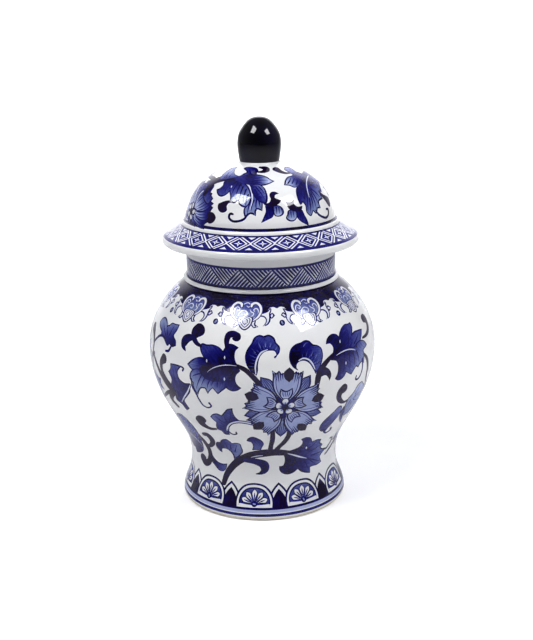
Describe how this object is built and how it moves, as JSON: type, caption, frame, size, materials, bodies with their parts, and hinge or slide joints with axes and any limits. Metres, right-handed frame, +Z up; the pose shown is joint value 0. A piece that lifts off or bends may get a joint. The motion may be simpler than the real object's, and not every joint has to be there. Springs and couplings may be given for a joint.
{
  "type": "ginger jar",
  "caption": "Covered baluster jar in glazed porcelain with a domed, wide-brimmed lid that lifts off by an egg-shaped knob.",
  "frame": {"origin": "on the jar's axis, in the plane that the foot ring stands on", "axes": "+Z up along the turning axis, from the foot to the knob; -Y is the face with the large painted flower"},
  "size_m": [0.1506, 0.1506, 0.254],
  "materials": {
    "painted_porcelain": "white porcelain painted in cobalt blue under a clear gloss glaze",
    "cobalt_glaze": "deep blue-black gloss glaze"
  },
  "bodies": {
    "jar": {"jar_body": "painted_porcelain"},
    "cover": {"lid": "painted_porcelain", "knob": "cobalt_glaze"}
  },
  "joints": [
    {"name": "lid_lift", "type": "slide", "parent": "jar", "child": "cover", "axis": [0, 0, 1], "range_m": [0, 0.06]}
  ]
}
